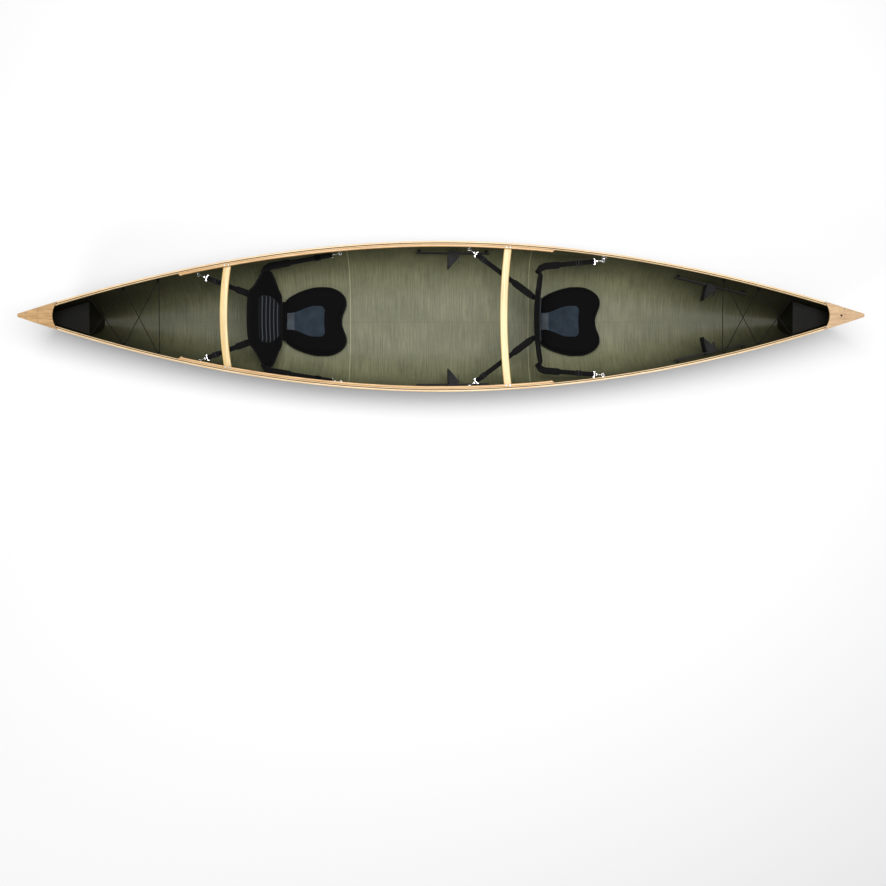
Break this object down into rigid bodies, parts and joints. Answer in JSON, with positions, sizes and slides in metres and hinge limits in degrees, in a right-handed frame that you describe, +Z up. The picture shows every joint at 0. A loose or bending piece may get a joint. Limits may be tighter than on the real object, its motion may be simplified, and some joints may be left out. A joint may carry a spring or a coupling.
{
  "type": "canoe",
  "caption": "Tandem pack canoe: laminate hull, ash rails, decks and thwarts, strapped padded seats with folding backrests, sliding foot pedals.",
  "frame": {"origin": "under the keel amidships, on the plane the keel rests on", "axes": "+X to the bow along the keel, +Y to port, +Z up"},
  "size_m": [4.88, 0.877, 0.474],
  "materials": {
    "hull_laminate": "clear gloss over a twill weave",
    "inner_laminate": "satin olive laminate",
    "ash": "oiled pale ash",
    "deck_ash": "oiled golden ash",
    "stainless": "brushed",
    "chrome_metal": "polished",
    "black_plastic": "moulded satin",
    "grey_plastic": "moulded satin",
    "black_fabric": "fine woven",
    "slate_fabric": "stretch knit",
    "webbing": "flat polypropylene webbing",
    "lacing_cord": "braided"
  },
  "bodies": {
    "root": {"hull_shell": "hull_laminate", "outwale_port": "ash", "outwale_stbd": "ash", "inwale_port": "ash", "inwale_stbd": "ash", "doubler_port": "deck_ash", "doubler_stbd": "deck_ash", "bow_deck": "deck_ash", "stern_deck": "deck_ash", "deck_screws": "stainless", "stern_thwart": "ash", "centre_thwart": "ash", "thwart_bolts": "stainless", "painter_tube": "black_plastic", "bow_bulkhead": "inner_laminate", "stern_bulkhead": "inner_laminate", "bow_float": "inner_laminate", "stern_float": "inner_laminate", "brace_rail_1": "black_plastic", "brace_rail_2": "black_plastic", "brace_rail_3": "black_plastic", "brace_rail_4": "black_plastic", "stern_seat_pad": "black_fabric", "bow_seat_pad": "black_fabric", "stern_seat_insert": "slate_fabric", "bow_seat_insert": "slate_fabric", "strap_eyes": "chrome_metal", "snap_hooks": "chrome_metal", "stern_seat_straps": "webbing", "bow_seat_straps": "webbing", "strap_buckles": "black_plastic", "bow_lacing": "lacing_cord", "stern_lacing": "lacing_cord", "lacing_eyes": "black_plastic"},
    "stern_back": {"stern_backrest": "black_fabric", "stern_back_panel": "slate_fabric"},
    "bow_back": {"bow_backrest": "black_fabric", "bow_back_panel": "slate_fabric"},
    "pedal_body_1": {"pedal_1": "black_plastic"},
    "lock_body_1": {"pedal_lock_1": "grey_plastic"},
    "pedal_body_2": {"pedal_2": "black_plastic"},
    "lock_body_2": {"pedal_lock_2": "grey_plastic"},
    "pedal_body_3": {"pedal_3": "black_plastic"},
    "lock_body_3": {"pedal_lock_3": "grey_plastic"},
    "pedal_body_4": {"pedal_4": "black_plastic"},
    "lock_body_4": {"pedal_lock_4": "grey_plastic"},
    "gate_body_1": {"hook_gate_1": "chrome_metal"},
    "gate_body_2": {"hook_gate_2": "chrome_metal"},
    "gate_body_3": {"hook_gate_3": "chrome_metal"},
    "gate_body_4": {"hook_gate_4": "chrome_metal"},
    "gate_body_5": {"hook_gate_5": "chrome_metal"},
    "gate_body_6": {"hook_gate_6": "chrome_metal"},
    "gate_body_7": {"hook_gate_7": "chrome_metal"},
    "gate_body_8": {"hook_gate_8": "chrome_metal"}
  },
  "joints": [
    {"name": "stern_backrest_fold", "type": "hinge", "parent": "root", "child": "stern_back", "pos_m": [-0.972, 0, 0.08], "axis": [0, 1, 0], "range_deg": [0, 35]},
    {"name": "bow_backrest_fold", "type": "hinge", "parent": "root", "child": "bow_back", "pos_m": [0.59, 0, 0.08], "axis": [0, 1, 0], "range_deg": [0, 35]},
    {"name": "pedal_slide_1", "type": "slide", "parent": "root", "child": "pedal_body_1", "axis": [0.9999, -0.011, 0], "range_m": [-0.12, 0.12]},
    {"name": "pedal_lock_1", "type": "hinge", "parent": "pedal_body_1", "child": "lock_body_1", "pos_m": [0.10683, 0.37595, 0.225], "axis": [0, 0, -1], "range_deg": [0, 12], "stiffness_Nm_per_rad": 0.2, "springref_deg": -8.59},
    {"name": "pedal_slide_2", "type": "slide", "parent": "root", "child": "pedal_body_2", "axis": [0.9999, 0.011, 0], "range_m": [-0.12, 0.12]},
    {"name": "pedal_lock_2", "type": "hinge", "parent": "pedal_body_2", "child": "lock_body_2", "pos_m": [0.10683, -0.37595, 0.225], "axis": [0, 0, 1], "range_deg": [0, 12], "stiffness_Nm_per_rad": 0.2, "springref_deg": -8.59},
    {"name": "pedal_slide_3", "type": "slide", "parent": "root", "child": "pedal_body_3", "axis": [0.973, -0.2309, 0], "range_m": [-0.12, 0.12]},
    {"name": "pedal_lock_3", "type": "hinge", "parent": "pedal_body_3", "child": "lock_body_3", "pos_m": [1.64444, 0.17409, 0.225], "axis": [0, 0, -1], "range_deg": [0, 12], "stiffness_Nm_per_rad": 0.2, "springref_deg": -8.59},
    {"name": "pedal_slide_4", "type": "slide", "parent": "root", "child": "pedal_body_4", "axis": [0.973, 0.2309, 0], "range_m": [-0.12, 0.12]},
    {"name": "pedal_lock_4", "type": "hinge", "parent": "pedal_body_4", "child": "lock_body_4", "pos_m": [1.64444, -0.17409, 0.225], "axis": [0, 0, 1], "range_deg": [0, 12], "stiffness_Nm_per_rad": 0.2, "springref_deg": -8.59},
    {"name": "hook_gate_1", "type": "hinge", "parent": "root", "child": "gate_body_1", "pos_m": [-1.40188, 0.24212, 0.30556], "axis": [-0.3535, -0.9354, 0], "range_deg": [0, 20], "stiffness_Nm_per_rad": 0.02, "springref_deg": -8.59},
    {"name": "hook_gate_2", "type": "hinge", "parent": "root", "child": "gate_body_2", "pos_m": [-0.62829, 0.37495, 0.30112], "axis": [-0.1584, 0.9874, 0], "range_deg": [0, 20], "stiffness_Nm_per_rad": 0.02, "springref_deg": -8.59},
    {"name": "hook_gate_3", "type": "hinge", "parent": "root", "child": "gate_body_3", "pos_m": [0.19402, 0.38577, 0.30857], "axis": [-0.6035, -0.7974, 0], "range_deg": [0, 20], "stiffness_Nm_per_rad": 0.02, "springref_deg": -8.59},
    {"name": "hook_gate_4", "type": "hinge", "parent": "root", "child": "gate_body_4", "pos_m": [0.92643, 0.33499, 0.30204], "axis": [-0.0795, 0.9968, 0], "range_deg": [0, 20], "stiffness_Nm_per_rad": 0.02, "springref_deg": -8.59},
    {"name": "hook_gate_5", "type": "hinge", "parent": "root", "child": "gate_body_5", "pos_m": [-1.40188, -0.24212, 0.30556], "axis": [0.3535, -0.9354, 0], "range_deg": [0, 20], "stiffness_Nm_per_rad": 0.02, "springref_deg": -8.59},
    {"name": "hook_gate_6", "type": "hinge", "parent": "root", "child": "gate_body_6", "pos_m": [-0.62829, -0.37495, 0.30112], "axis": [0.1584, 0.9874, 0], "range_deg": [0, 20], "stiffness_Nm_per_rad": 0.02, "springref_deg": -8.59},
    {"name": "hook_gate_7", "type": "hinge", "parent": "root", "child": "gate_body_7", "pos_m": [0.19402, -0.38577, 0.30857], "axis": [0.6035, -0.7974, 0], "range_deg": [0, 20], "stiffness_Nm_per_rad": 0.02, "springref_deg": -8.59},
    {"name": "hook_gate_8", "type": "hinge", "parent": "root", "child": "gate_body_8", "pos_m": [0.92643, -0.33499, 0.30204], "axis": [0.0795, 0.9968, 0], "range_deg": [0, 20], "stiffness_Nm_per_rad": 0.02, "springref_deg": -8.59}
  ]
}
